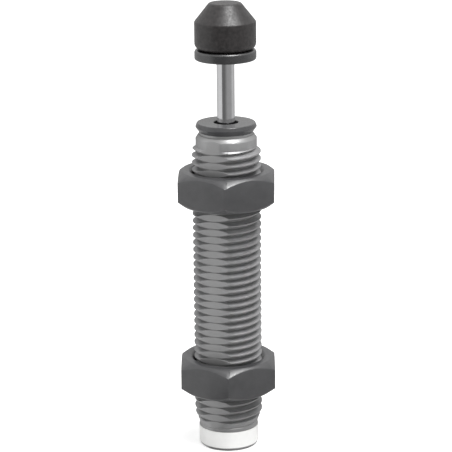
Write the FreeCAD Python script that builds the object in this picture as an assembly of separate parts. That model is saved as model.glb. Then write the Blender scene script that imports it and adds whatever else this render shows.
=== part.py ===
"""Miniature hydraulic shock absorber with a threaded body, two hex lock nuts and a capped rod.

Millimetres. The origin is the centre of the rear face, +Z runs along the rod towards the
bumper cap, and one corner of each nut points nearly along -Y. The rod is fully extended.
"""

import FreeCAD
import Part
import math
import os

# Threaded body
thread_major_d = 13.74
thread_pitch = 1.5
front_thread_chamfer = 0.6
runout_pitches = 1.5
barrel_length = 65.0
nose_d = 12.2
nose_length = 2.44
nose_chamfer_r = 0.55
nose_chamfer_h = 0.79
barrel_lip_d = 10.8
barrel_lip_height = 0.5
rear_d = 11.9
rear_plain_length = 4.95
rear_edge = 0.3
barrel_bore_d = 9.8
barrel_floor = 5.0

# Two flats milled along the body for a spanner
flats_across = 11.76
flats_from_rear = 4.25
flats_turn = -27.5

# Label band on the rear plain end
label_from_rear = 0.64
label_height = 3.41
label_thickness = 0.1

# Oil filling port in the rear wall, closed by a ball and a slotted screw
fill_thread_d = 3.1
fill_port_d = 1.6
fill_land = 0.8
fill_ball_d = 2.3
fill_screw_d = 3.04
fill_screw_recess = 0.25
fill_slot_width = 0.5
fill_slot_depth = 0.8

# Lock nuts
nut_across_flats = 19.0
nut_height = 6.95
nut_chamfer_circle_d = 17.9
nut_chamfer_angle = 37.0
nut_countersink_d = 15.0
nut_thread_gap = 0.05
front_nut_from_front = 7.3
front_nut_turn = -2.0
rear_nut_from_rear = 11.85
rear_nut_turn = -0.4

# Pressure tube, its base and the row of metering holes
tube_outer_d = 8.8
tube_bore_d = 7.0
base_flange = 1.2
base_spigot = 1.8
base_pilot = 1.5
base_groove_count = 4
base_groove_width = 1.0
base_groove_depth = 0.5
metering_holes = ((0.04, 0.9, 0.0), (0.30, 0.8, 95.0), (0.56, 0.7, 190.0), (0.80, 0.6, 285.0))

# Rod guide, bushing, O-ring and foam accumulator
guide_spigot = 1.3
guide_foot = 1.0
guide_neck = 5.8
guide_neck_d = 5.8
guide_head = 3.2
guide_slot_count = 4
guide_slot_width = 1.2
guide_slot_from_neck = 0.4
guide_slot_turn = 45.0
bushing_outer_d = 4.7
o_ring_section = 0.66
o_ring_groove_width = 1.0
foam_end_gap = 0.1

# Gland with its seal, washer and wiper
gland_flange = 1.8
gland_flange_d = 12.2
gland_top_d = 11.65
gland_rim_below_top = 0.81
gland_rim_round = 0.2
gland_top_round = 0.25
gland_mouth_d = 4.9
gland_mouth_round = 0.12
gland_lip = 1.0
seal_pocket_d = 7.2
seal_height = 1.9
seal_lip_depth = 1.0
seal_lip_width = 0.52
seal_lip_chamfer = 0.1
seal_bore_relief = 0.1
washer_thickness = 0.5
washer_rod_gap = 0.16
wiper_pocket_d = 6.4
wiper_height = 2.0
wiper_rod_gap = 0.2
wiper_mouth_gap = 0.1
wiper_lip_rise = 0.45
wiper_lip_width = 0.12
wiper_lip_chamfer = 0.1
wiper_lip_root = 0.5

# Rod, piston and check ring
stroke = 12.0
end_reserve = 0.55
rod_d = 3.55
rod_stud_d = 2.4
rebound_gap = 0.3
piston_length = 2.6
piston_ring_height = 0.9
piston_ring_float = 0.25
piston_ring_depth = 0.52
piston_ring_split = 0.35
piston_port_count = 4
piston_port_d = 0.6
piston_port_wall = 0.1
piston_port_turn = 45.0
piston_nut_across_flats = 3.6
piston_nut_height = 1.4
rod_stud_end = 0.25

# Return spring: the pitch of its active turns grows and ends over a share of their length
spring_wire_d = 0.6
spring_mean_d = 6.0
spring_active_turns = 7.5
spring_end_turns = 1.25
spring_ground_off = 0.15
spring_ease = 0.12
spring_points_per_turn = 16

# Rod head and bumper cap
head_d = 12.2
head_thickness = 2.0
head_top_edge = 0.5
head_bottom_edge = 0.45
head_hub_d = 6.0
head_hub_height = 3.6
head_bead = 0.25
head_bead_level = 2.16
rod_in_head = 4.0
cap_d = 12.15
cap_height = 9.2
cap_cone_height = 3.68
cap_top_d = 6.3
cap_top_edge = 0.65
cap_shoulder_round = 0.5
cap_bottom_round = 1.38

# Chamfer of hidden edges, and how far a cutter reaches past the metal
edge_break = 0.2
cutter_overrun = 1.0

# Clearances
running_gap = 0.04
seat_gap = 0.02
piston_gap = 0.08

# Levels and radii that follow from the sizes above
thread_r = thread_major_d / 2
nose_r = nose_d / 2
rear_r = rear_d / 2
thread_top = barrel_length - nose_length
thread_bottom = rear_plain_length + runout_pitches * thread_pitch
bore_r = barrel_bore_d / 2
lip_top = barrel_length + barrel_lip_height
gland_top = lip_top + gland_flange
guide_top = gland_top - gland_lip - wiper_height - washer_thickness - seal_height
guide_head_bottom = guide_top - guide_head
guide_foot_top = guide_head_bottom - guide_neck
tube_top = guide_foot_top - guide_foot
guide_bottom = tube_top - guide_spigot
tube_bottom = barrel_floor + base_flange
tube_bore_r = tube_bore_d / 2
spring_bottom = tube_bottom + base_spigot
piston_top = guide_bottom - rebound_gap
piston_bottom = piston_top - piston_length
ring_groove = piston_ring_height + piston_ring_float
ring_groove_bottom = piston_bottom + (piston_length - ring_groove) / 2
ring_groove_r = tube_bore_r - piston_gap - piston_ring_depth
rod_r = rod_d / 2
rod_bottom = piston_bottom - piston_nut_height - rod_stud_end
head_bottom = gland_top + stroke + end_reserve
head_top = head_bottom + head_thickness
bead_level = head_top + head_bead_level
cap_top = head_top + cap_height


def rounded_outline(corners):
    """Edges of a closed outline in the XZ plane. A corner is (radius, height) or adds a rounding."""
    count = len(corners)
    points = [FreeCAD.Vector(c[0], 0, c[1]) for c in corners]
    starts, arcs = [], []
    for i, corner in enumerate(corners):
        rounding = corner[2] if len(corner) > 2 else 0.0
        here = points[i]
        back = (points[i - 1] - here).normalize()
        ahead = (points[(i + 1) % count] - here).normalize()
        if not rounding:
            starts.append((here, here))
            arcs.append(None)
            continue
        half = back.getAngle(ahead) / 2
        reach = rounding / math.tan(half)
        middle = (back + ahead).normalize() * (rounding / math.sin(half) - rounding)
        starts.append((here + back * reach, here + ahead * reach))
        arcs.append(here + middle)
    edges = []
    for i in range(count):
        enter, leave = starts[i]
        if arcs[i] is not None:
            edges.append(Part.Arc(enter, arcs[i], leave).toShape())
        following = starts[(i + 1) % count][0]
        if leave.distanceToPoint(following) > 1e-6:
            edges.append(Part.LineSegment(leave, following).toShape())
    return edges


def turned(corners):
    """A lathe-turned solid about Z from the corners of its half section."""
    face = Part.Face(Part.Wire(rounded_outline(corners)))
    return face.revolve(FreeCAD.Vector(), FreeCAD.Vector(0, 0, 1), 360)


def cylinder(radius, bottom, top):
    return Part.makeCylinder(radius, top - bottom, FreeCAD.Vector(0, 0, bottom))


def ring(inner, outer, bottom, top):
    return turned([(inner, bottom), (outer, bottom), (outer, top), (inner, top)])


def hex_corner_r(across_flats):
    return across_flats / 2 / math.cos(math.radians(30))


def hex_prism(across_flats, bottom, height, turn):
    """A hexagonal prism with one corner turned from -Y, towards +X by turn degrees."""
    corner_r = hex_corner_r(across_flats)
    corners = []
    for side in range(7):
        angle = math.radians(-90 + turn + 60 * side)
        corners.append(FreeCAD.Vector(corner_r * math.cos(angle), corner_r * math.sin(angle), bottom))
    return Part.Face(Part.makePolygon(corners)).extrude(FreeCAD.Vector(0, 0, height))


def around(shape, count, offset=0.0):
    """Copies of a shape evenly spaced about Z."""
    copies = []
    for i in range(count):
        copy = shape.copy()
        copy.rotate(FreeCAD.Vector(), FreeCAD.Vector(0, 0, 1), offset + 360 * i / count)
        copies.append(copy)
    return copies


def milled_flats(shape):
    """The body with its two opposite flats, from above the label to the front shoulder."""
    waste = Part.makeBox(thread_r, thread_major_d, barrel_length - flats_from_rear)
    waste.translate(FreeCAD.Vector(flats_across / 2, -thread_r, flats_from_rear))
    for cutter in around(waste, 2, flats_turn - 90):
        shape = shape.cut(cutter)
    return shape


def barrel():
    """Body turned from bar: blind bore, threaded length at its major diameter, flats, front lip."""
    outer = turned([
        (0, 0),
        (rear_r - rear_edge, 0),
        (rear_r, rear_edge),
        (rear_r, rear_plain_length),
        (thread_r, thread_bottom),
        (thread_r, thread_top - front_thread_chamfer),
        (nose_r, thread_top),
        (nose_r, barrel_length - nose_chamfer_h),
        (nose_r - nose_chamfer_r, barrel_length),
        (barrel_lip_d / 2, barrel_length),
        (barrel_lip_d / 2, lip_top),
        (0, lip_top),
    ])
    port_r = fill_port_d / 2
    thread_hole_r = fill_thread_d / 2
    cone_top = barrel_floor - fill_land
    inner = turned([
        (0, 0),
        (thread_hole_r, 0),
        (thread_hole_r, cone_top - (thread_hole_r - port_r)),
        (port_r, cone_top),
        (port_r, barrel_floor),
        (bore_r, barrel_floor),
        (bore_r, lip_top),
        (0, lip_top),
    ])
    return milled_flats(outer).cut(inner)


def label_band():
    """Thin printed band round the rear plain end."""
    top = label_from_rear + label_height
    return ring(rear_r, rear_r + label_thickness, label_from_rear, top)


def fill_ball_centre():
    """Height of the ball where it seats on the 45 degree cone of the port."""
    cone_apex = barrel_floor - fill_land + fill_port_d / 2
    return cone_apex - fill_ball_d / 2 * math.sqrt(2)


def fill_ball():
    return Part.makeSphere(fill_ball_d / 2, FreeCAD.Vector(0, 0, fill_ball_centre()))


def fill_screw():
    """Slotted grub screw that holds the ball on its seat."""
    top = fill_ball_centre() - fill_ball_d / 2
    radius = fill_screw_d / 2
    body = turned([(0, fill_screw_recess), (radius, fill_screw_recess), (radius, top), (0, top)])
    slot = Part.makeBox(2 * radius, fill_slot_width, fill_slot_depth)
    slot.translate(FreeCAD.Vector(-radius, -fill_slot_width / 2, fill_screw_recess))
    return body.cut(slot)


def lock_nut(bottom, turn):
    """Hex nut, chamfered by a cone at both ends, with a countersunk thread hole."""
    top = bottom + nut_height
    circle_r = nut_chamfer_circle_d / 2
    reach_r = hex_corner_r(nut_across_flats) + cutter_overrun
    drop = (reach_r - circle_r) * math.tan(math.radians(nut_chamfer_angle))
    chamfer_cones = turned([
        (0, bottom),
        (circle_r, bottom),
        (reach_r, bottom + drop),
        (reach_r, top - drop),
        (circle_r, top),
        (0, top),
    ])
    hole_r = thread_r + nut_thread_gap
    sink_r = nut_countersink_d / 2
    sink = sink_r - hole_r
    hole = turned([
        (0, bottom),
        (sink_r, bottom),
        (hole_r, bottom + sink),
        (hole_r, top - sink),
        (sink_r, top),
        (0, top),
    ])
    return hex_prism(nut_across_flats, bottom, nut_height, turn).common(chamfer_cones).cut(hole)


def front_lock_nut():
    return lock_nut(barrel_length - front_nut_from_front - nut_height, front_nut_turn)


def rear_lock_nut():
    return lock_nut(rear_nut_from_rear, rear_nut_turn)


def tube_base():
    """Plug that closes the pressure tube and centres the spring, grooved below for the oil."""
    outer_r = tube_outer_d / 2
    pilot_r = (spring_mean_d - spring_wire_d) / 2 - 2 * piston_gap
    body = turned([
        (0, barrel_floor),
        (outer_r, barrel_floor),
        (outer_r, tube_bottom),
        (tube_bore_r - seat_gap, tube_bottom),
        (tube_bore_r - seat_gap, spring_bottom),
        (pilot_r, spring_bottom),
        (pilot_r, spring_bottom + base_pilot - edge_break),
        (pilot_r - edge_break, spring_bottom + base_pilot),
        (0, spring_bottom + base_pilot),
    ])
    groove = Part.makeBox(outer_r, base_groove_width, base_groove_depth)
    groove.translate(FreeCAD.Vector(0, -base_groove_width / 2, barrel_floor))
    for cutter in around(groove, base_groove_count):
        body = body.cut(cutter)
    return body


def pressure_tube():
    """Hardened tube with metering holes that the piston ring covers one after another."""
    tube = ring(tube_bore_r, tube_outer_d / 2, tube_bottom, tube_top)
    ring_level = ring_groove_bottom + piston_ring_height / 2
    for share, diameter, turn in metering_holes:
        level = ring_level - share * stroke
        angle = math.radians(turn)
        outwards = FreeCAD.Vector(math.cos(angle), math.sin(angle), 0)
        drill = Part.makeCylinder(diameter / 2, tube_outer_d, FreeCAD.Vector(0, 0, level), outwards)
        tube = tube.cut(drill)
    return tube


def spring_height(turn):
    """Height of the wire's middle after a number of turns. The end turns lie closed."""
    total = 2 * spring_end_turns + spring_active_turns
    low = spring_bottom + spring_wire_d / 2 - spring_ground_off
    high = piston_bottom - spring_wire_d / 2 + spring_ground_off
    closed_pitch = spring_wire_d + seat_gap
    if turn <= spring_end_turns:
        return low + closed_pitch * turn
    if turn >= total - spring_end_turns:
        return high - closed_pitch * (total - turn)
    share = (turn - spring_end_turns) / spring_active_turns
    start = low + closed_pitch * spring_end_turns
    finish = high - closed_pitch * spring_end_turns
    if share < spring_ease:
        eased = share * share / (2 * spring_ease)
    elif share > 1 - spring_ease:
        eased = 1 - spring_ease - (1 - share) * (1 - share) / (2 * spring_ease)
    else:
        eased = share - spring_ease / 2
    even = closed_pitch * spring_active_turns
    return start + even * share + (finish - start - even) * eased / (1 - spring_ease)


def return_spring():
    """Round-wire compression spring with closed ends ground flat."""
    total = 2 * spring_end_turns + spring_active_turns
    mean_r = spring_mean_d / 2
    steps = int(total * spring_points_per_turn)
    points = []
    for i in range(steps + 1):
        turn = total * i / steps
        angle = 2 * math.pi * turn
        points.append(FreeCAD.Vector(mean_r * math.cos(angle), mean_r * math.sin(angle), spring_height(turn)))
    curve = Part.BSplineCurve()
    curve.interpolate(points)
    path = Part.Wire(curve.toShape())
    section = Part.Wire(Part.makeCircle(spring_wire_d / 2, points[0], curve.tangent(0)[0]))
    coil = path.makePipeShell([section], True, True)
    grinding = ring(mean_r - spring_wire_d, mean_r + spring_wire_d, spring_bottom, piston_bottom)
    return coil.common(grinding)


def rod_guide():
    """Carrier of the bushing: spigot in the tube, slotted foot, neck for the foam, sealed head."""
    groove_r = bore_r - running_gap - o_ring_section
    groove_bottom = guide_head_bottom + (guide_head - o_ring_groove_width) / 2
    groove_top = groove_bottom + o_ring_groove_width
    outer_r = bore_r - seat_gap
    body = turned([
        (bushing_outer_d / 2, guide_bottom),
        (tube_bore_r - seat_gap, guide_bottom),
        (tube_bore_r - seat_gap, tube_top),
        (tube_outer_d / 2, tube_top),
        (tube_outer_d / 2, guide_foot_top),
        (guide_neck_d / 2, guide_foot_top),
        (guide_neck_d / 2, guide_head_bottom),
        (outer_r, guide_head_bottom),
        (outer_r, groove_bottom),
        (groove_r, groove_bottom),
        (groove_r, groove_top),
        (outer_r, groove_top),
        (outer_r, guide_top),
        (bushing_outer_d / 2, guide_top),
    ])
    slot = Part.makeBox(tube_outer_d, guide_slot_width, guide_foot)
    slot_start = guide_neck_d / 2 + guide_slot_from_neck
    slot.translate(FreeCAD.Vector(slot_start, -guide_slot_width / 2, tube_top))
    for cutter in around(slot, guide_slot_count, guide_slot_turn):
        body = body.cut(cutter)
    return body


def rod_bushing():
    """Plain bronze bearing of the rod."""
    return ring(rod_r + running_gap, bushing_outer_d / 2 - seat_gap, guide_bottom, guide_top)


def guide_o_ring():
    level = guide_head_bottom + guide_head / 2
    section_r = o_ring_section / 2
    centre_r = bore_r - running_gap - section_r
    return Part.makeTorus(centre_r, section_r - seat_gap, FreeCAD.Vector(0, 0, level))


def accumulator_foam():
    """Closed-cell sleeve that gives way as the entering rod displaces oil."""
    bottom = guide_foot_top + foam_end_gap
    top = guide_head_bottom - foam_end_gap
    return ring(guide_neck_d / 2 + seat_gap, bore_r - running_gap, bottom, top)


def gland():
    """Blackened cap screwed into the barrel, which clamps the guide and holds seal and wiper."""
    neck_r = bore_r - seat_gap
    seal_top = guide_top + seal_height + washer_thickness
    wiper_top = seal_top + wiper_height
    return turned([
        (seal_pocket_d / 2, guide_top),
        (neck_r, guide_top),
        (neck_r, lip_top),
        (barrel_lip_d / 2, lip_top),
        (gland_flange_d / 2, gland_top - gland_rim_below_top, gland_rim_round),
        (gland_top_d / 2, gland_top, gland_top_round),
        (gland_mouth_d / 2, gland_top, gland_mouth_round),
        (gland_mouth_d / 2, wiper_top),
        (wiper_pocket_d / 2, wiper_top),
        (wiper_pocket_d / 2, seal_top),
        (seal_pocket_d / 2, seal_top),
    ])


def rod_seal():
    """U-cup seal, open towards the oil."""
    top = guide_top + seal_height
    inner_r = rod_r + running_gap
    outer_r = seal_pocket_d / 2 - seat_gap
    middle_r = (inner_r + outer_r) / 2
    return turned([
        (inner_r, guide_top + seal_lip_chamfer),
        (inner_r + seal_lip_width, guide_top),
        (middle_r, guide_top + seal_lip_depth),
        (outer_r - seal_lip_width, guide_top),
        (outer_r, guide_top + seal_lip_chamfer),
        (outer_r, top),
        (inner_r + seal_bore_relief, top),
        (inner_r + seal_bore_relief, guide_top + seal_lip_depth),
    ])


def seal_washer():
    bottom = guide_top + seal_height
    return ring(rod_r + washer_rod_gap, seal_pocket_d / 2 - seat_gap, bottom, bottom + washer_thickness)


def rod_wiper():
    """Rubber wiper whose lip rises into the mouth of the gland."""
    bottom = guide_top + seal_height + washer_thickness
    top = bottom + wiper_height
    lip_r = rod_r + running_gap
    return turned([
        (rod_r + wiper_rod_gap, bottom),
        (wiper_pocket_d / 2 - seat_gap, bottom),
        (wiper_pocket_d / 2 - seat_gap, top),
        (gland_mouth_d / 2 - wiper_mouth_gap, top),
        (lip_r + wiper_lip_width, top + wiper_lip_rise),
        (lip_r, top + wiper_lip_rise - wiper_lip_chamfer),
        (rod_r + wiper_rod_gap, top - wiper_lip_root),
    ])


def piston():
    """Steel piston with a deep ring groove and oil ports that open on the return stroke."""
    outer_r = tube_bore_r - piston_gap
    groove_top = ring_groove_bottom + ring_groove
    body = turned([
        (rod_stud_d / 2 + seat_gap, piston_bottom),
        (outer_r - edge_break, piston_bottom),
        (outer_r, piston_bottom + edge_break),
        (outer_r, ring_groove_bottom),
        (ring_groove_r, ring_groove_bottom),
        (ring_groove_r, groove_top),
        (outer_r, groove_top),
        (outer_r, piston_top - edge_break),
        (outer_r - edge_break, piston_top),
        (rod_stud_d / 2 + seat_gap, piston_top),
    ])
    port_circle_r = ring_groove_r - piston_port_d / 2 - piston_port_wall
    port = Part.makeCylinder(piston_port_d / 2, piston_length, FreeCAD.Vector(port_circle_r, 0, piston_bottom))
    for drill in around(port, piston_port_count, piston_port_turn):
        body = body.cut(drill)
    return body


def piston_ring():
    """Split check ring that floats in the groove and seals against the tube."""
    body = ring(
        ring_groove_r + seat_gap,
        tube_bore_r - running_gap,
        ring_groove_bottom,
        ring_groove_bottom + piston_ring_height,
    )
    split = Part.makeBox(tube_bore_d, piston_ring_split, ring_groove)
    split.translate(FreeCAD.Vector(0, -piston_ring_split / 2, ring_groove_bottom))
    return body.cut(split)


def piston_nut():
    """Small hex nut that holds the piston on the rod's stud."""
    bottom = piston_bottom - piston_nut_height
    body = hex_prism(piston_nut_across_flats, bottom, piston_nut_height, 0)
    return body.cut(cylinder(rod_stud_d / 2 + seat_gap, bottom, piston_bottom))


def piston_rod():
    """Ground rod: a stud for the piston below, plain above, pressed into the head."""
    top = head_bottom + rod_in_head
    stud_r = rod_stud_d / 2
    return turned([
        (0, rod_bottom),
        (stud_r - edge_break, rod_bottom),
        (stud_r, rod_bottom + edge_break),
        (stud_r, piston_top),
        (rod_r, piston_top),
        (rod_r, top - edge_break),
        (rod_r - edge_break, top),
        (0, top),
    ])


def rod_head():
    """Blackened steel flange on the rod, with a beaded hub that the cap snaps over."""
    hub_top = head_top + head_hub_height
    hub_r = head_hub_d / 2
    return turned([
        (0, head_bottom + rod_in_head),
        (rod_r + seat_gap, head_bottom + rod_in_head),
        (rod_r + seat_gap, head_bottom),
        (head_d / 2, head_bottom, head_bottom_edge),
        (head_d / 2, head_top, head_top_edge),
        (hub_r, head_top),
        (hub_r, bead_level - head_bead),
        (hub_r + head_bead, bead_level),
        (hub_r, bead_level + head_bead),
        (hub_r, hub_top - edge_break),
        (hub_r - edge_break, hub_top),
        (0, hub_top),
    ])


def bumper_cap():
    """Tough plastic bumper: cylinder, cone and flat top, with a socket for the head's hub."""
    socket_top = head_top + head_hub_height + 2 * seat_gap
    socket_r = head_hub_d / 2 + seat_gap
    return turned([
        (socket_r, head_top),
        (cap_d / 2, head_top, cap_bottom_round),
        (cap_d / 2, cap_top - cap_cone_height, cap_shoulder_round),
        (cap_top_d / 2, cap_top, cap_top_edge),
        (0, cap_top),
        (0, socket_top),
        (socket_r, socket_top),
        (socket_r, bead_level + head_bead),
        (socket_r + head_bead, bead_level),
        (socket_r, bead_level - head_bead),
    ])


NODES = (
    barrel, label_band, fill_ball, fill_screw,
    front_lock_nut, rear_lock_nut,
    tube_base, pressure_tube, return_spring,
    rod_guide, rod_bushing, guide_o_ring, accumulator_foam,
    gland, rod_seal, seal_washer, rod_wiper,
    piston, piston_ring, piston_nut, piston_rod,
    rod_head, bumper_cap,
)

os.makedirs("parts", exist_ok=True)
for node in NODES:
    shape = node()
    solids = shape.Solids
    single = solids[0] if len(solids) == 1 else Part.makeCompound(solids)
    single.exportStep("parts/" + node.__name__ + ".step")
    box = single.BoundBox
    print(f"{node.__name__:18s} {len(solids)} solid, {single.Volume:9.3f} mm3, z {box.ZMin:.2f} to {box.ZMax:.2f}")
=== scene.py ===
"""Looks of the miniature hydraulic shock absorber: cut thread, wound spring, finishes and light.

Metres, in the frame of the CAD model: the origin is the centre of the rear face and +Z runs
along the rod. Sizes that the frame gives are read from it. The rest are written in millimetres.
"""

import math

import bmesh
import bpy
from mathutils import Matrix, Vector


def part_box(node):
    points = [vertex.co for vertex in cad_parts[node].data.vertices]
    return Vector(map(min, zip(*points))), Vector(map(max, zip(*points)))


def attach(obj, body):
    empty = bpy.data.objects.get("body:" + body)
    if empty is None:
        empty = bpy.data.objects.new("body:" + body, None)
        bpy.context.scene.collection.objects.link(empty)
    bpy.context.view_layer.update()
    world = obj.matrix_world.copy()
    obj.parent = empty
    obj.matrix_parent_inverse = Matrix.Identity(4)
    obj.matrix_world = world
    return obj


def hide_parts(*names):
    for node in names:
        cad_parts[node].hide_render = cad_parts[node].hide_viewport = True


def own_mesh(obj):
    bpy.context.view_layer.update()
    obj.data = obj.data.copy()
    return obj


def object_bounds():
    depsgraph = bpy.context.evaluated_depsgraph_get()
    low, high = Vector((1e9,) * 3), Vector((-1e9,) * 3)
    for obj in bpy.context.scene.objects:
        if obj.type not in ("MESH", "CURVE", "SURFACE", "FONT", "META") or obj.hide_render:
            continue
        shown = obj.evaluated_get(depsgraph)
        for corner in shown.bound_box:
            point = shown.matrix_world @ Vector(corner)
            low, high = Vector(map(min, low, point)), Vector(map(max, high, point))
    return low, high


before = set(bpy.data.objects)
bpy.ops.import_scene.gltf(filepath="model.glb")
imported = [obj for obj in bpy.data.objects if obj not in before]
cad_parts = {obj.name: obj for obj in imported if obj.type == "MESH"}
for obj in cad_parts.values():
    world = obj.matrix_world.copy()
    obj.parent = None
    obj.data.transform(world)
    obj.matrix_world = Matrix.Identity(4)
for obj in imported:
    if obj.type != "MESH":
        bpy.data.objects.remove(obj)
cad_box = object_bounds()

mm = 0.001
full_turn = 2 * math.pi

# Thread of the body: crest height at angle 0 (+X), profile of a metric thread
thread_pitch = 1.5 * mm
thread_phase = -0.03 * mm
crest_flat = 0.2 * mm
flank_angle = math.radians(60)
flank_tangent = math.tan(flank_angle)
root_round = 0.045 * mm
thread_columns = 144

# Rows of the thread's grid: on the crest and flank as shares, in the root as degrees
crest_row_share = 0.7
flank_row_shares = (0.1, 0.45, 0.8)
root_row_angles = (60, 35, 12)
least_row_share = 0.001

# Barrel, the rest of its section
nose_r = 6.1 * mm
nose_length = 2.44 * mm
nose_chamfer_r = 0.55 * mm
nose_chamfer_h = 0.79 * mm
front_thread_chamfer = 0.6 * mm
rear_r = 5.95 * mm
rear_plain_length = 4.95 * mm
rear_runout = 2.25 * mm
rear_edge = 0.3 * mm
rear_edge_soft = 0.06 * mm
label_to_groove = 0.3 * mm
rear_groove_fade = 0.5 * mm
front_groove_fade = 0.15 * mm
lip_r = 5.4 * mm
lip_height = 0.5 * mm
lip_edge = 0.05 * mm
flat_distance = 5.88 * mm
flat_turn = -27.5
least_cosine = 0.01
flat_low = 4.25 * mm
flat_step = 0.03 * mm
bore_r = 4.9 * mm
barrel_floor = 5.0 * mm
port_r = 0.8 * mm
port_cone_top = 4.2 * mm
fill_hole_r = 1.55 * mm
fill_hole_chamfer = 0.12 * mm
soft_edge = 0.04 * mm
fine_edge = 0.02 * mm

# Lock nuts
nut_flat_r = 9.5 * mm
nut_chamfer_circle_r = 8.95 * mm
nut_chamfer_slope = math.tan(math.radians(37))
nut_corner_round = 0.12 * mm
nut_edge_round = 0.08 * mm
nut_edge_in = 0.7
nut_edge_up = 0.5
nut_thread_gap = 0.05 * mm
nut_countersink_r = 7.5 * mm
nut_countersink_round = 0.03 * mm
nut_countersink_rim = 0.05 * mm
nut_half_side = math.radians(30)
nut_side = 60
nut_column_step = 3
nut_corner_columns = (-0.38, -0.24, -0.09, 0.09, 0.24, 0.38)
front_nut_turn = -2.0
rear_nut_turn = -0.4

# Return spring, between its seat on the tube's base and the piston
spring_wire_r = 0.3 * mm
spring_mean_r = 3.0 * mm
spring_low = 8.0 * mm
spring_active_turns = 7.5
spring_end_turns = 1.25
spring_closed_pitch = 0.62 * mm
spring_ground_off = 0.15 * mm
spring_ease = 0.12
spring_steps_per_turn = 32
spring_wire_sides = 14

# Meshes: edges drawn sharp above these angles in degrees, and points closer than this are one
sharp_edge = 32
spring_sharp_edge = 50
weld_distance = 0.0008 * mm

# Materials
noise_roughness = 0.55
edge_samples = 6
section_slant = 2.3

# Camera and picture
camera_lens = 160.55
camera_sensor = 36
camera_pitch = 15.4
camera_roll = 0.55
camera_distance = 404.0 * mm
camera_aim = Vector((-0.2 * mm, 0, 45.96 * mm))


def smoothstep(low, high, value):
    t = min(1, max(0, (value - low) / (high - low)))
    return t * t * (3 - 2 * t)


# Meshes


def add_piece(name, mesh, body, replaced, sharp_angle=sharp_edge):
    """A finished mesh becomes a smooth shaded piece that rides on a CAD body."""
    for polygon in mesh.polygons:
        polygon.use_smooth = True
    mesh.set_sharp_from_angle(angle=math.radians(sharp_angle))
    piece = bpy.data.objects.new(name, mesh)
    bpy.context.scene.collection.objects.link(piece)
    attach(piece, body)
    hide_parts(*replaced)
    return piece


def closed_grid(name, columns):
    """A closed skin over columns of points. Each column is a loop, and the last meets the first."""
    grid = bmesh.new()
    rows = len(columns[0])
    made = [[grid.verts.new(point) for point in column] for column in columns]
    for left, right in zip(made, made[1:]):
        for i in range(rows):
            j = (i + 1) % rows
            grid.faces.new((left[i], right[i], right[j], left[j]))
    bmesh.ops.remove_doubles(grid, verts=grid.verts[:], dist=weld_distance)
    bmesh.ops.recalc_face_normals(grid, faces=grid.faces[:])
    mesh = bpy.data.meshes.new(name)
    grid.to_mesh(mesh)
    grid.free()
    return mesh


def at_angle(profile, angle):
    """Points of a half section (radius, height), turned to an angle about Z."""
    return [Vector((r * math.cos(angle), r * math.sin(angle), z)) for r, z in profile]


# Thread


def thread_depth(offset):
    """Depth below the crest at a share of the pitch from the crest's middle, from -0.5 to 0.5."""
    away = abs(offset) * thread_pitch
    flank_start = crest_flat / 2
    from_root = thread_pitch / 2 - away
    if away <= flank_start:
        return 0.0
    if from_root >= root_round * math.sin(flank_angle):
        return (away - flank_start) * flank_tangent
    sharp_depth = (thread_pitch / 2 - flank_start) * flank_tangent
    return sharp_depth - 2 * root_round + math.sqrt(root_round ** 2 - from_root ** 2)


def crest_offset(height, angle):
    """Share of the pitch between a point and the nearest crest, from -0.5 to 0.5."""
    turns = (height - thread_phase) / thread_pitch - angle / full_turn
    return (turns + 0.5) % 1.0 - 0.5


def thread_rows(lost_depth):
    """Rows of the thread's grid within one pitch, where a cut took some depth off the crest."""
    root_angles = [math.radians(degrees) for degrees in root_row_angles]
    root_shares = [0.5 - root_round / thread_pitch * math.sin(angle) for angle in root_angles]
    edge = (crest_flat / 2 + lost_depth / flank_tangent) / thread_pitch
    edge = min(edge, root_shares[1])
    rest = max(0, root_shares[0] - edge)
    half = [edge * crest_row_share, edge]
    half += [edge + share * rest for share in flank_row_shares]
    half += [max(share, edge + least_row_share * i) for i, share in enumerate(root_shares, 1)]
    return [-share for share in reversed(half)] + half


def helical_rows(angle, low, high, lost_depth):
    """Heights of the thread's rows at an angle, held between two levels."""
    turns = round((high - low) / thread_pitch) + 3
    first = math.floor((low - thread_phase) / thread_pitch) - 2
    heights = []
    for turn in range(first, first + turns + 1):
        for share in thread_rows(lost_depth):
            height = thread_phase + thread_pitch * (turn + share + angle / full_turn)
            heights.append(min(high, max(low, height)))
    return heights


# Barrel

barrel_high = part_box("barrel")[1]
label_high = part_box("label_band")[1]
crest_r = barrel_high.x
barrel_length = barrel_high.z - lip_height
thread_top = barrel_length - nose_length
groove_end = label_high.z + label_to_groove


def flat_radius(angle):
    """Distance from the axis to the two opposite milled flats at an angle."""
    off = (angle - math.radians(flat_turn - 90) + math.pi / 2) % math.pi - math.pi / 2
    return flat_distance / max(least_cosine, math.cos(off))


def barrel_envelope(height):
    """Outside radius of the barrel before its thread is cut."""
    rear_share = (height - rear_plain_length) / rear_runout
    front_share = (thread_top - height) / front_thread_chamfer
    share = max(0, min(1, rear_share, front_share))
    end_r = rear_r if height < barrel_length / 2 else nose_r
    return end_r + (crest_r - end_r) * share


def barrel_radius(height, angle):
    """Outside radius of the threaded barrel. The groove fades out at both of its ends."""
    rear_fade = smoothstep(groove_end, groove_end + rear_groove_fade, height)
    front_fade = smoothstep(thread_top, thread_top - front_groove_fade, height)
    cut = crest_r - thread_depth(crest_offset(height, angle))
    envelope = barrel_envelope(height)
    threaded = envelope - max(0, envelope - cut) * rear_fade * front_fade
    return min(threaded, flat_radius(angle))


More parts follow.
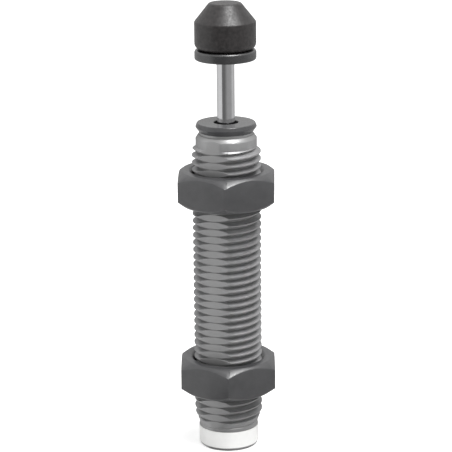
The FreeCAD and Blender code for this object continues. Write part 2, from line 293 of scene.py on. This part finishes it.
def barrel_section(angle):
    """Half section of the barrel at an angle: outside from the rear face up, then the bore down."""
    face = barrel_length
    front_edge = nose_r - nose_chamfer_r
    flat = flat_radius(angle)
    nose = min(nose_r, flat)
    chamfer_low = face - nose_chamfer_h * (nose - front_edge) / nose_chamfer_r
    section = [
        (fill_hole_r + fill_hole_chamfer, 0),
        (rear_r - rear_edge, 0),
        (rear_r - rear_edge_soft, rear_edge - rear_edge_soft),
        (rear_r, rear_edge + soft_edge),
        (rear_r, flat_low - flat_step),
        (min(rear_r, flat), flat_low),
    ]
    for height in helical_rows(angle, groove_end, thread_top, max(0, crest_r - flat)):
        section.append((barrel_radius(height, angle), height))
    section += [
        (nose, thread_top + fine_edge),
        (nose, chamfer_low - soft_edge),
        (nose - fine_edge, chamfer_low + fine_edge),
        (front_edge + flat_step, face - soft_edge),
        (front_edge - soft_edge, face),
        (lip_r, face),
        (lip_r, face + lip_height - lip_edge),
        (lip_r - lip_edge, face + lip_height),
        (bore_r, face + lip_height),
        (bore_r, barrel_floor),
        (port_r, barrel_floor),
        (port_r, port_cone_top),
        (fill_hole_r, port_cone_top - (fill_hole_r - port_r)),
        (fill_hole_r, fill_hole_chamfer),
    ]
    return section


def make_barrel():
    angles = [full_turn * i / thread_columns for i in range(thread_columns + 1)]
    columns = [at_angle(barrel_section(angle), angle) for angle in angles]
    mesh = closed_grid("barrel_threaded", columns)
    return add_piece("barrel_threaded", mesh, "body", ["barrel"])


# Lock nuts


def hexagon_radius(angle, corner):
    """Outside radius of a nut at an angle, with its corners rounded. One corner is at corner."""
    off_corner = (angle - corner + nut_half_side) % math.radians(nut_side) - nut_half_side
    centre = (nut_flat_r - nut_corner_round) / math.cos(nut_half_side)
    side_r = nut_flat_r / math.cos(nut_half_side - abs(off_corner))
    across = centre * math.sin(abs(off_corner))
    if across >= nut_corner_round:
        return side_r
    round_r = centre * math.cos(off_corner) + math.sqrt(nut_corner_round ** 2 - across ** 2)
    return min(side_r, round_r)


def nut_angles(corner):
    """Angles of a nut's columns: even steps, and close ones at each corner."""
    angles = []
    for side in range(6):
        for off in nut_corner_columns:
            angles.append(corner + math.radians(nut_side * side + off))
        for step in range(1, nut_side // nut_column_step):
            angles.append(corner + math.radians(nut_side * side + nut_column_step * step))
    return sorted(angle % full_turn for angle in angles)


def nut_section(angle, corner, low, high):
    """Half section of a nut at an angle: chamfered hexagon outside, countersunk hole inside.

    The nut slides without turning, so its hole is plain and clear of the body's crests.
    """
    outside = hexagon_radius(angle, corner)
    drop = (outside - nut_chamfer_circle_r) * nut_chamfer_slope
    soft = nut_edge_round
    skin = [
        (nut_countersink_r + nut_countersink_rim, 0),
        (nut_chamfer_circle_r - soft, 0),
        (nut_chamfer_circle_r + soft, soft * nut_chamfer_slope),
        (outside - soft * nut_edge_in, drop - soft * nut_edge_up),
        (outside, drop + soft),
    ]
    hole_r = crest_r + nut_thread_gap
    edge = nut_countersink_round
    hole = [(nut_countersink_r - edge, edge), (hole_r, nut_countersink_r - hole_r)]
    section = [(r, low + z) for r, z in skin] + [(r, high - z) for r, z in reversed(skin)]
    section += [(r, high - z) for r, z in hole] + [(r, low + z) for r, z in reversed(hole)]
    return section


def make_nut(node, body, turn):
    """A nut with one corner turned from -Y, towards +X by turn degrees."""
    low, high = (corner.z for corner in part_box(node))
    corner = math.radians(turn - 90)
    angles = nut_angles(corner)
    angles.append(angles[0] + full_turn)
    columns = [at_angle(nut_section(angle, corner, low, high), angle) for angle in angles]
    mesh = closed_grid(node + "_rounded", columns)
    return add_piece(node + "_rounded", mesh, body, [node])


# Return spring


def spring_height(turn, high):
    """Height of the wire's middle after a number of turns. The end turns lie closed."""
    total = 2 * spring_end_turns + spring_active_turns
    first = spring_low + spring_wire_r - spring_ground_off
    last = high - spring_wire_r + spring_ground_off
    if turn <= spring_end_turns:
        return first + spring_closed_pitch * turn
    if turn >= total - spring_end_turns:
        return last - spring_closed_pitch * (total - turn)
    share = (turn - spring_end_turns) / spring_active_turns
    start = first + spring_closed_pitch * spring_end_turns
    even = spring_closed_pitch * spring_active_turns
    open_rise = last - first - 2 * spring_closed_pitch * spring_end_turns - even
    if share < spring_ease:
        eased = share ** 2 / (2 * spring_ease)
    elif share > 1 - spring_ease:
        eased = 1 - spring_ease - (1 - share) ** 2 / (2 * spring_ease)
    else:
        eased = share - spring_ease / 2
    return start + even * share + open_rise * eased / (1 - spring_ease)


def make_spring():
    """Round wire wound with closed ends that are ground flat."""
    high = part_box("piston")[0].z
    total = 2 * spring_end_turns + spring_active_turns
    steps = round(total * spring_steps_per_turn)
    coil = bmesh.new()
    loops = []
    for i in range(steps + 1):
        turn = total * i / steps
        angle = full_turn * turn
        height = spring_height(turn, high)
        loop = []
        for j in range(spring_wire_sides):
            round_wire = full_turn * j / spring_wire_sides
            r = spring_mean_r + spring_wire_r * math.cos(round_wire)
            z = min(high, max(spring_low, height + spring_wire_r * math.sin(round_wire)))
            loop.append(coil.verts.new((r * math.cos(angle), r * math.sin(angle), z)))
        loops.append(loop)
    for here, ahead in zip(loops, loops[1:]):
        for j in range(spring_wire_sides):
            k = (j + 1) % spring_wire_sides
            coil.faces.new((here[j], ahead[j], ahead[k], here[k]))
    coil.faces.new(loops[0])
    coil.faces.new(loops[-1])
    bmesh.ops.recalc_face_normals(coil, faces=coil.faces[:])
    mesh = bpy.data.meshes.new("return_spring_wound")
    coil.to_mesh(mesh)
    coil.free()
    piece = add_piece(
        "return_spring_wound", mesh, "body", ["return_spring"], spring_sharp_edge,
    )
    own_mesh(piece)
    return piece


# Materials


class Paint:
    """A node material that starts as a principled shader with plain values."""

    def __init__(self, name, colour, metallic, roughness):
        self.material = bpy.data.materials.new(name)
        self.material.use_nodes = True
        self.tree = self.material.node_tree
        self.shader = self.tree.nodes["Principled BSDF"]
        self.set_input("Base Color", (*colour, 1))
        self.set_input("Metallic", metallic)
        self.set_input("Roughness", roughness)
        self.material.diffuse_color = (*colour, 1)

    def set_input(self, key, value):
        self.shader.inputs[key].default_value = value

    def node(self, kind, **settings):
        made = self.tree.nodes.new("ShaderNode" + kind)
        for key, value in settings.items():
            setattr(made, key, value)
        return made

    def link(self, source, target):
        self.tree.links.new(source, target)

    def math(self, operation, first, second=None):
        made = self.node("Math", operation=operation)
        for socket, value in zip(made.inputs, (first, second)):
            if isinstance(value, (int, float)):
                socket.default_value = value
            elif value is not None:
                self.link(value, socket)
        return made.outputs[0]

    def place(self):
        return self.node("TexCoord").outputs["Object"]

    def radius(self):
        """Distance from the axis, in metres."""
        parts = self.node("SeparateXYZ")
        self.link(self.place(), parts.inputs[0])
        across, deep = (self.math("POWER", parts.outputs[axis], 2) for axis in (0, 1))
        return self.math("SQRT", self.math("ADD", across, deep))

    def lathe_place(self, around, along):
        """Coordinates for noise round the axis: cycles per metre around, and along a section."""
        parts = self.node("SeparateXYZ")
        self.link(self.place(), parts.inputs[0])
        slanted = self.math("MULTIPLY", self.radius(), section_slant)
        section = self.math("ADD", slanted, parts.outputs[2])
        joined = self.node("CombineXYZ")
        self.link(self.math("MULTIPLY", parts.outputs[0], around), joined.inputs[0])
        self.link(self.math("MULTIPLY", parts.outputs[1], around), joined.inputs[1])
        self.link(self.math("MULTIPLY", section, along), joined.inputs[2])
        return joined.outputs[0]

    def noise(self, scale, detail=3, place=None):
        """Noise by cycles per metre, over the piece's own place unless another is given."""
        made = self.node("TexNoise")
        made.inputs["Scale"].default_value = scale
        made.inputs["Detail"].default_value = detail
        made.inputs["Roughness"].default_value = noise_roughness
        self.link(place or self.place(), made.inputs["Vector"])
        return made.outputs["Fac"]

    def spread(self, value, low, high, start=0.3, end=0.7):
        """A value between start and end, spread over low to high."""
        made = self.node("MapRange")
        limits = {"From Min": start, "From Max": end, "To Min": low, "To Max": high}
        for key, number in limits.items():
            made.inputs[key].default_value = number
        self.link(value, made.inputs["Value"])
        return made.outputs[0]

    def between(self, share, first, second):
        """A colour between two colours."""
        made = self.node("Mix", data_type="RGBA")
        for socket, value in ((made.inputs["A"], first), (made.inputs["B"], second)):
            if isinstance(value, tuple):
                socket.default_value = (*value, 1)
            else:
                self.link(value, socket)
        self.link(share, made.inputs["Factor"])
        return made.outputs["Result"]

    def worn_edges(self, reach, gain):
        """From 0 on open faces to 1 along edges, within reach of them."""
        bevel = self.node("Bevel", samples=edge_samples)
        bevel.inputs["Radius"].default_value = reach
        flat = self.node("NewGeometry")
        product = self.node("VectorMath", operation="DOT_PRODUCT")
        self.link(bevel.outputs[0], product.inputs[0])
        self.link(flat.outputs["Normal"], product.inputs[1])
        away = self.math("SUBTRACT", 1, product.outputs["Value"])
        made = self.math("MULTIPLY", away, gain)
        made.node.use_clamp = True
        return made

    def colour(self, source):
        self.link(source, self.shader.inputs["Base Color"])

    def roughness(self, source):
        self.link(source, self.shader.inputs["Roughness"])

    def bump(self, *layers):
        """Bump from layers of (height, depth in metres), the first one lowest."""
        normal = None
        for height, depth in layers:
            made = self.node("Bump")
            made.inputs["Distance"].default_value = depth
            self.link(height, made.inputs["Height"])
            if normal:
                self.link(normal, made.inputs["Normal"])
            normal = made.outputs[0]
        self.link(normal, self.shader.inputs["Normal"])


def body_steel():
    """Nitrided steel of the barrel: dull, faintly clouded grey, even in the thread's roots."""
    paint = Paint("body_steel", (0.305, 0.305, 0.308), 0.68, 0.40)
    cloud = paint.spread(paint.noise(700), 0.0, 1.0)
    tone = paint.between(cloud, (0.285, 0.285, 0.288), (0.325, 0.325, 0.328))
    paint.set_input("Specular Tint", (0.6, 0.6, 0.6, 1))
    depth = paint.spread(paint.radius(), 1.0, 0.0, crest_r - 1.1 * mm, crest_r - 0.7 * mm)
    paint.colour(paint.between(depth, tone, (0.30, 0.30, 0.30)))
    paint.roughness(paint.spread(paint.noise(2500, 4), 0.36, 0.44))
    marks = paint.noise(1.0, 2, paint.lathe_place(300, 9000))
    paint.bump((marks, 0.004 * mm), (paint.noise(9000, 3), 0.003 * mm))
    return paint.material


def black_steel(name, dark, light, roughness, specular, grain):
    """Black oxide on machined steel, rubbed bare along the edges."""
    paint = Paint(name, tuple((a + b) / 2 for a, b in zip(dark, light)), 0.0, roughness)
    paint.set_input("Specular IOR Level", specular)
    cloud = paint.spread(paint.noise(450, 4), 0.0, 1.0)
    tone = paint.between(cloud, dark, light)
    patches = paint.spread(paint.noise(1800), 0.2, 1.0)
    rubbed = paint.math("MULTIPLY", paint.worn_edges(0.12 * mm, 2.0), patches)
    paint.colour(paint.between(rubbed, tone, (0.16, 0.16, 0.165)))
    paint.roughness(paint.spread(paint.noise(2200, 4), roughness - 0.05, roughness + 0.05))
    marks = paint.noise(1.0, 2, paint.lathe_place(400, 6000))
    paint.bump((marks, grain), (paint.noise(7000, 3), grain * 0.75))
    return paint.material


def bumper_plastic():
    """Tough black polymer with a fine moulded grain."""
    paint = Paint("bumper_plastic", (0.014, 0.014, 0.015), 0.0, 0.38)
    cloud = paint.spread(paint.noise(1500, 4), 0.0, 1.0)
    paint.colour(paint.between(cloud, (0.008, 0.007, 0.007), (0.024, 0.021, 0.021)))
    paint.roughness(paint.spread(paint.noise(1800, 4), 0.30, 0.50))
    paint.bump((paint.noise(1600, 3), 0.020 * mm), (paint.noise(6000, 4), 0.006 * mm))
    return paint.material


def rod_chrome():
    """Hard chrome ground round the rod."""
    paint = Paint("rod_chrome", (0.60, 0.60, 0.61), 1.0, 0.10)
    marks = paint.noise(1.0, 3, paint.lathe_place(250, 16000))
    cloud = paint.spread(paint.noise(600), 0.0, 1.0)
    paint.colour(paint.between(cloud, (0.58, 0.58, 0.59), (0.62, 0.62, 0.63)))
    paint.roughness(paint.spread(marks, 0.05, 0.16))
    paint.bump((marks, 0.0008 * mm))
    return paint.material


def machined_metal(name, dark, light, rough_low, rough_high, grain=7000):
    """A turned or ground metal with marks round the axis."""
    middle = tuple((a + b) / 2 for a, b in zip(dark, light))
    paint = Paint(name, middle, 1.0, (rough_low + rough_high) / 2)
    marks = paint.noise(1.0, 3, paint.lathe_place(300, grain))
    paint.colour(paint.between(paint.spread(paint.noise(800), 0.0, 1.0), dark, light))
    paint.roughness(paint.spread(marks, rough_low, rough_high))
    paint.bump((marks, 0.002 * mm))
    return paint.material


def seal_rubber():
    """Matt black rubber of the seals."""
    paint = Paint("seal_rubber", (0.018, 0.018, 0.018), 0.0, 0.55)
    cloud = paint.spread(paint.noise(900, 3), 0.0, 1.0)
    paint.colour(paint.between(cloud, (0.014, 0.014, 0.014), (0.024, 0.024, 0.025)))
    paint.roughness(paint.spread(paint.noise(4000), 0.48, 0.62))
    paint.bump((paint.noise(8000, 3), 0.003 * mm))
    return paint.material


def cell_foam():
    """Closed-cell foam: small skinned bubbles."""
    paint = Paint("cell_foam", (0.05, 0.05, 0.055), 0.0, 0.8)
    cells = paint.node("TexVoronoi")
    cells.inputs["Scale"].default_value = 3500
    paint.link(paint.place(), cells.inputs["Vector"])
    inside = paint.spread(cells.outputs["Distance"], 0.0, 1.0, 0.0, 0.6)
    paint.colour(paint.between(inside, (0.03, 0.03, 0.034), (0.08, 0.08, 0.086)))
    paint.roughness(paint.spread(paint.noise(2000), 0.7, 0.9))
    paint.bump((cells.outputs["Distance"], 0.05 * mm))
    return paint.material


def label_film():
    """White film without its print, matt, with a faint unevenness of the glue below it."""
    paint = Paint("label_film", (0.67, 0.67, 0.66), 0.0, 0.45)
    cloud = paint.spread(paint.noise(500, 3), 0.0, 1.0)
    paint.colour(paint.between(cloud, (0.65, 0.65, 0.64), (0.69, 0.69, 0.68)))
    paint.roughness(paint.spread(paint.noise(1500), 0.40, 0.52))
    paint.bump((paint.noise(900, 2), 0.006 * mm))
    return paint.material


def dress(piece, material):
    piece.data.materials.clear()
    piece.data.materials.append(material)


# Pieces and their finishes

finishes = {
    "body_steel": body_steel(),
    "label_film": label_film(),
    "black_steel": black_steel(
        "black_steel", (0.033, 0.033, 0.035), (0.043, 0.043, 0.045),
        roughness=0.34, specular=0.7, grain=0.003 * mm,
    ),
    "gland_steel": black_steel(
        "gland_steel", (0.034, 0.034, 0.036), (0.042, 0.042, 0.044),
        roughness=0.20, specular=0.6, grain=0.0004 * mm,
    ),
    "head_steel": black_steel(
        "head_steel", (0.010, 0.010, 0.011), (0.018, 0.018, 0.019),
        roughness=0.30, specular=1.0, grain=0.0012 * mm,
    ),
    "bumper_plastic": bumper_plastic(),
    "rod_chrome": rod_chrome(),
    "bare_steel": machined_metal("bare_steel", (0.44, 0.44, 0.44), (0.52, 0.52, 0.51), 0.22, 0.36),
    "spring_steel": machined_metal(
        "spring_steel", (0.30, 0.29, 0.28), (0.38, 0.37, 0.35), 0.28, 0.42,
    ),
    "bronze": machined_metal("bronze", (0.48, 0.30, 0.14), (0.56, 0.37, 0.18), 0.28, 0.42),
    "seal_rubber": seal_rubber(),
    "cell_foam": cell_foam(),
}

nodes_by_finish = {
    "label_film": ["label_band"],
    "gland_steel": ["gland"],
    "head_steel": ["rod_head"],
    "bumper_plastic": ["bumper_cap"],
    "rod_chrome": ["piston_rod"],
    "bare_steel": [
        "fill_ball", "fill_screw", "tube_base", "pressure_tube", "rod_guide",
        "seal_washer", "piston", "piston_ring", "piston_nut",
    ],
    "bronze": ["rod_bushing"],
    "seal_rubber": ["guide_o_ring", "rod_seal", "rod_wiper"],
    "cell_foam": ["accumulator_foam"],
}

for finish, names in nodes_by_finish.items():
    for name in names:
        dress(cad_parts[name], finishes[finish])

dress(make_barrel(), finishes["body_steel"])
dress(make_nut("front_lock_nut", "front_nut", front_nut_turn), finishes["black_steel"])
dress(make_nut("rear_lock_nut", "rear_nut", rear_nut_turn), finishes["black_steel"])
dress(make_spring(), finishes["spring_steel"])


# Studio

# Brightness of the floor and walls as metal shows them, by direction from the camera's side,
# in degrees: 0 is towards the camera and 90 is to its right.
surroundings = (
    (-180, 0.50), (-139, 0.74), (-90, 0.92), (-53, 0.90), (-43, 0.19), (-12, 0.19),
    (20, 0.42), (72, 0.46), (92, 0.72), (180, 0.50),
)
floor_size = 1.6
floor_squares = 8
floor_drop = 0.02 * mm
floor_grey = 0.8
floor_glow = 0.55
sky_level = 1.05
sky_rise = 0.5
open_light = 0.56

# Lamps: degrees right of the camera, degrees up, distance, width and height in metres, watts
softboxes = {
    "key": (35, 58, 0.7, 0.26, 0.26, 2.8),
    "overhead": (60, 74, 0.9, 0.6, 0.6, 5.8),
    "left": (-90, 25, 0.9, 0.5, 0.9, 0.4),
}


def ramp_by_direction(tree, vector):
    """A grey level that depends on the horizontal direction of a vector."""
    parts = tree.nodes.new("ShaderNodeSeparateXYZ")
    tree.links.new(vector, parts.inputs[0])
    flipped = tree.nodes.new("ShaderNodeMath")
    flipped.operation = "MULTIPLY"
    flipped.inputs[1].default_value = -1
    tree.links.new(parts.outputs[1], flipped.inputs[0])
    angle = tree.nodes.new("ShaderNodeMath")
    angle.operation = "ARCTAN2"
    tree.links.new(parts.outputs[0], angle.inputs[0])
    tree.links.new(flipped.outputs[0], angle.inputs[1])
    share = tree.nodes.new("ShaderNodeMapRange")
    share.inputs["From Min"].default_value = -math.pi
    share.inputs["From Max"].default_value = math.pi
    tree.links.new(angle.outputs[0], share.inputs["Value"])
    ramp = tree.nodes.new("ShaderNodeValToRGB")
    elements = ramp.color_ramp.elements
    while len(elements) < len(surroundings):
        elements.new(0.5)
    for element, (degrees, level) in zip(elements, surroundings):
        element.position = degrees / 360 + 0.5
        element.color = (level, level, level, 1)
    tree.links.new(share.outputs[0], ramp.inputs[0])
    return ramp.outputs[0], parts.outputs[2]


def emission(tree, kind, colour, strength=1.0):
    """A shader that gives light of its own, from a grey level or a socket."""
    made = tree.nodes.new(kind)
    if isinstance(colour, (int, float)):
        made.inputs["Color"].default_value = (colour, colour, colour, 1)
    else:
        tree.links.new(colour, made.inputs["Color"])
    made.inputs["Strength"].default_value = strength
    return made.outputs[0]


def shader_mix(tree, factor, first, second):
    made = tree.nodes.new("ShaderNodeMixShader")
    tree.links.new(factor, made.inputs[0])
    tree.links.new(first, made.inputs[1])
    tree.links.new(second, made.inputs[2])
    return made.outputs[0]


def glossy_or_clear(tree, rays):
    """1 for rays that a metal or glass surface sends out."""
    made = tree.nodes.new("ShaderNodeMath")
    made.operation = "MAXIMUM"
    tree.links.new(rays.outputs["Is Glossy Ray"], made.inputs[0])
    tree.links.new(rays.outputs["Is Transmission Ray"], made.inputs[1])
    return made.outputs[0]


def make_world():
    """White for the camera, the studio for reflections, an even level for matt surfaces."""
    world = bpy.data.worlds.new("studio")
    bpy.context.scene.world = world
    world.use_nodes = True
    tree = world.node_tree
    tree.nodes.clear()
    place = tree.nodes.new("ShaderNodeTexCoord")
    below, height = ramp_by_direction(tree, place.outputs["Generated"])
    rise = tree.nodes.new("ShaderNodeMapRange")
    rise.inputs["From Min"].default_value = 0.0
    rise.inputs["From Max"].default_value = sky_rise
    tree.links.new(height, rise.inputs["Value"])
    tint = tree.nodes.new("ShaderNodeMix")
    tint.data_type = "RGBA"
    tree.links.new(rise.outputs[0], tint.inputs["Factor"])
    tree.links.new(below, tint.inputs["A"])
    tint.inputs["B"].default_value = (sky_level, sky_level, sky_level, 1)
    studio = emission(tree, "ShaderNodeBackground", tint.outputs["Result"])
    white = emission(tree, "ShaderNodeBackground", 1.0)
    even = emission(tree, "ShaderNodeBackground", open_light)
    rays = tree.nodes.new("ShaderNodeLightPath")
    seen = shader_mix(tree, glossy_or_clear(tree, rays), even, studio)
    seen = shader_mix(tree, rays.outputs["Is Camera Ray"], seen, white)
    output = tree.nodes.new("ShaderNodeOutputWorld")
    tree.links.new(seen, output.inputs["Surface"])


def make_floor():
    """White floor that keeps a soft shadow of the object and is clear from below."""
    grid = bmesh.new()
    bmesh.ops.create_grid(
        grid, x_segments=floor_squares, y_segments=floor_squares, size=floor_size,
    )
    mesh = bpy.data.meshes.new("floor")
    grid.to_mesh(mesh)
    grid.free()
    floor = bpy.data.objects.new("floor", mesh)
    bpy.context.scene.collection.objects.link(floor)
    floor.location.z = cad_box[0][2] - floor_drop
    material = bpy.data.materials.new("floor_white")
    material.use_nodes = True
    tree = material.node_tree
    tree.nodes.clear()
    paper = tree.nodes.new("ShaderNodeBsdfDiffuse")
    paper.inputs["Color"].default_value = (floor_grey, floor_grey, floor_grey, 1)
    glow = emission(tree, "ShaderNodeEmission", 1.0, floor_glow)
    added = tree.nodes.new("ShaderNodeAddShader")
    tree.links.new(paper.outputs[0], added.inputs[0])
    tree.links.new(glow, added.inputs[1])
    place = tree.nodes.new("ShaderNodeTexCoord")
    shade, _ = ramp_by_direction(tree, place.outputs["Object"])
    studio = emission(tree, "ShaderNodeEmission", shade)
    rays = tree.nodes.new("ShaderNodeLightPath")
    seen = shader_mix(tree, glossy_or_clear(tree, rays), added.outputs[0], studio)
    side = tree.nodes.new("ShaderNodeNewGeometry")
    clear = tree.nodes.new("ShaderNodeBsdfTransparent")
    seen = shader_mix(tree, side.outputs["Backfacing"], seen, clear.outputs[0])
    output = tree.nodes.new("ShaderNodeOutputMaterial")
    tree.links.new(seen, output.inputs["Surface"])
    mesh.materials.append(material)


def direction(azimuth, elevation):
    """Unit vector from the object, by degrees right of the camera and above the floor."""
    around, up = math.radians(azimuth), math.radians(elevation)
    level = math.cos(up)
    return Vector((math.sin(around) * level, -math.cos(around) * level, math.sin(up)))


def softbox(name, azimuth, elevation, distance, width, height, power):
    lamp = bpy.data.lights.new(name, "AREA")
    lamp.shape = "RECTANGLE"
    lamp.size = width
    lamp.size_y = height
    lamp.energy = power
    holder = bpy.data.objects.new(name, lamp)
    bpy.context.scene.collection.objects.link(holder)
    away = direction(azimuth, elevation)
    holder.location = camera_aim + away * distance
    holder.rotation_euler = away.to_track_quat("Z", "Y").to_euler()


def make_camera():
    lens = bpy.data.cameras.new("camera")
    lens.lens = camera_lens
    lens.sensor_width = camera_sensor
    holder = bpy.data.objects.new("camera", lens)
    bpy.context.scene.collection.objects.link(holder)
    tilt = math.radians(90 - camera_pitch)
    turn = Matrix.Rotation(tilt, 4, "X") @ Matrix.Rotation(math.radians(-camera_roll), 4, "Z")
    place = camera_aim + direction(0, camera_pitch) * camera_distance
    holder.matrix_world = Matrix.Translation(place) @ turn
    bpy.context.scene.camera = holder


make_world()
make_floor()
for name, setting in softboxes.items():
    softbox(name, *setting)
make_camera()

bpy.context.scene.view_settings.view_transform = "Standard"

bpy.context.view_layer.update()
